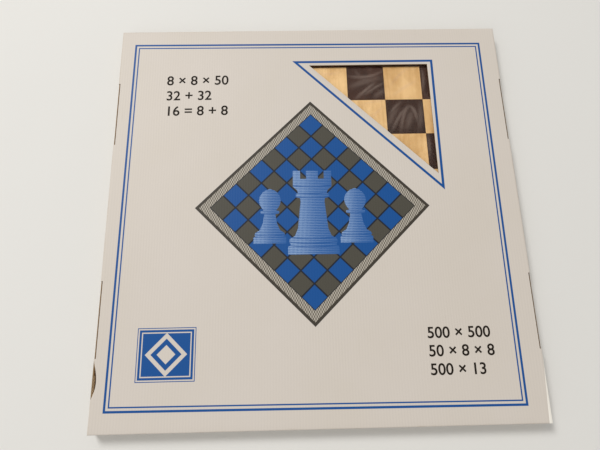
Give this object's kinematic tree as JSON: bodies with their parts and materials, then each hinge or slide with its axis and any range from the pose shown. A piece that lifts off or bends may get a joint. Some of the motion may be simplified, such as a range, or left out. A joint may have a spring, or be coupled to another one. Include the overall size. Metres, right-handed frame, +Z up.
{
  "type": "boxed wooden chessboard",
  "caption": "Flat square windowed carton of thin corrugated card, opening like a book on its back panel, with a film-wrapped veneered wooden chessboard lying inside.",
  "frame": {"origin": "middle of the carton's underside, on the table", "axes": "+Z up through the printed front panel, +X to the right of the print, +Y to its upper edge"},
  "size_m": [0.5118, 0.5108, 0.0195],
  "materials": {
    "printed_card": "printed, satin",
    "plain_card": "uncoated, matt",
    "core_board": "fibreboard, matt",
    "light_veneer": "satin varnish",
    "dark_veneer": "satin varnish",
    "clear_film": "clear gloss"
  },
  "bodies": {
    "back": {"back_panel": "plain_card"},
    "cover": {"front_panel": "printed_card", "upper_wall": "plain_card", "lower_wall": "plain_card", "left_outer_wall": "plain_card", "right_outer_wall": "plain_card", "left_roll_spine": "plain_card", "right_roll_spine": "plain_card", "left_inner_wall": "plain_card", "right_inner_wall": "plain_card", "upper_left_corner_flap": "plain_card", "upper_right_corner_flap": "plain_card", "lower_left_corner_flap": "plain_card", "lower_right_corner_flap": "plain_card"},
    "tuck": {"tuck_flap": "plain_card"},
    "board": {"board_core": "core_board", "light_squares": "light_veneer", "dark_squares": "dark_veneer", "border_upper": "dark_veneer", "border_lower": "dark_veneer", "border_left": "dark_veneer", "border_right": "dark_veneer", "edge_band_upper": "dark_veneer", "edge_band_lower": "dark_veneer", "edge_band_left": "dark_veneer", "edge_band_right": "dark_veneer", "back_veneer": "dark_veneer", "film_front": "clear_film", "film_back": "clear_film"}
  },
  "joints": [
    {"name": "cover_hinge", "type": "hinge", "parent": "back", "child": "cover", "pos_m": [0, 0.25465, 0.00075], "axis": [-1, 0, 0], "range_deg": [0, 90]},
    {"name": "tuck_fold", "type": "hinge", "parent": "back", "child": "tuck", "pos_m": [0, -0.25215, 0.00075], "axis": [1, 0, 0], "range_deg": [0, 90]},
    {"name": "board_shift", "type": "slide", "parent": "back", "child": "board", "axis": [0, 1, 0], "range_m": [0, 0.0043]}
  ],
  "couplings": [
    {"joint": "tuck_fold", "follows": "cover_hinge", "ratio": 1}
  ]
}
